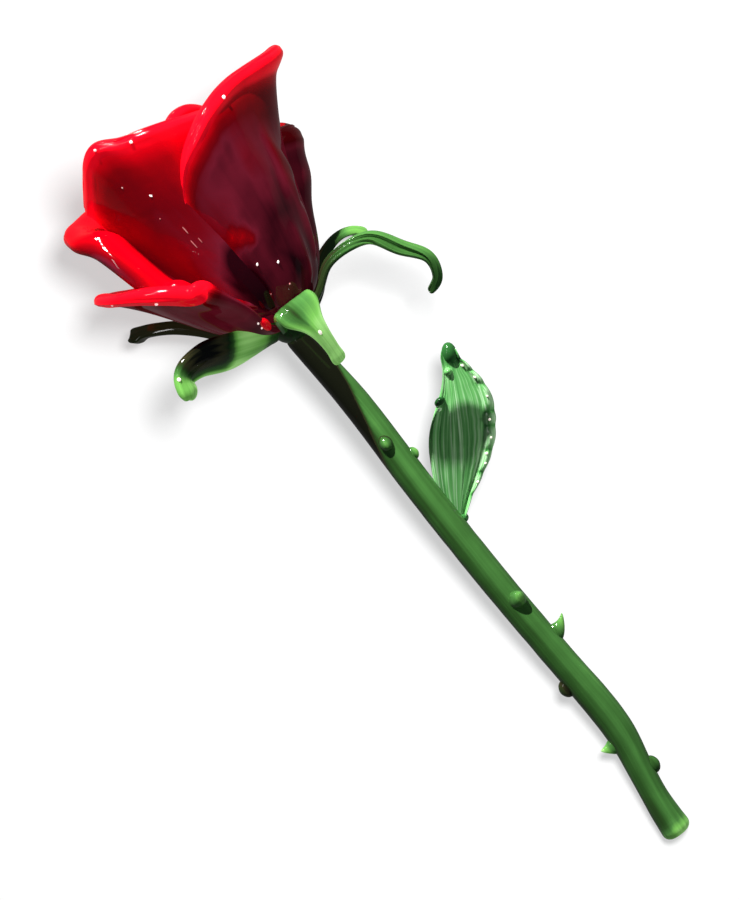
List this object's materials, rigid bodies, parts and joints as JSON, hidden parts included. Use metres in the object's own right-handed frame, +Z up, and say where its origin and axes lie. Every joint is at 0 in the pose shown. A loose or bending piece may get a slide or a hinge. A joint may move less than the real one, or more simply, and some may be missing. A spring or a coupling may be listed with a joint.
{
  "type": "glass rose",
  "caption": "Long-stem rose sculpted in coloured glass, with nested red petals that roll at the rim, arching green sepals, a pressed leaf and blunt thorns on a bowed stem.",
  "frame": {"origin": "centre of the footprint, on the table that the rose lies on", "axes": "+X along the stem from its foot towards the bloom, +Z up from the table, so the leaf and the tall right petal lie on the -Y side"},
  "size_m": [0.4554, 0.153, 0.11],
  "materials": {
    "red_glass": "fire-polished deep red glass, clear and brighter at the rims",
    "green_glass": "fire-polished leaf-green glass, nearly opaque",
    "pale_green_glass": "pressed pale green glass with fine lengthwise streaks"
  },
  "bodies": {
    "root": {"bud_core": "red_glass", "petal_inner_front": "red_glass", "petal_inner_rear": "red_glass", "petal_inner_left": "red_glass", "petal_front": "red_glass", "petal_right_rear": "red_glass", "petal_rear": "red_glass", "petal_left": "red_glass", "petal_tall_right": "red_glass", "petal_low_left": "red_glass", "calyx": "green_glass", "stem": "green_glass", "sepal_front": "green_glass", "sepal_right": "green_glass", "sepal_right_rear": "green_glass", "sepal_left": "green_glass", "sepal_left_rear": "green_glass", "thorn_1": "green_glass", "thorn_2": "green_glass", "thorn_3": "green_glass", "thorn_4": "green_glass", "thorn_5": "green_glass", "thorn_6": "green_glass", "thorn_7": "green_glass", "leaf": "pale_green_glass"}
  },
  "joints": []
}
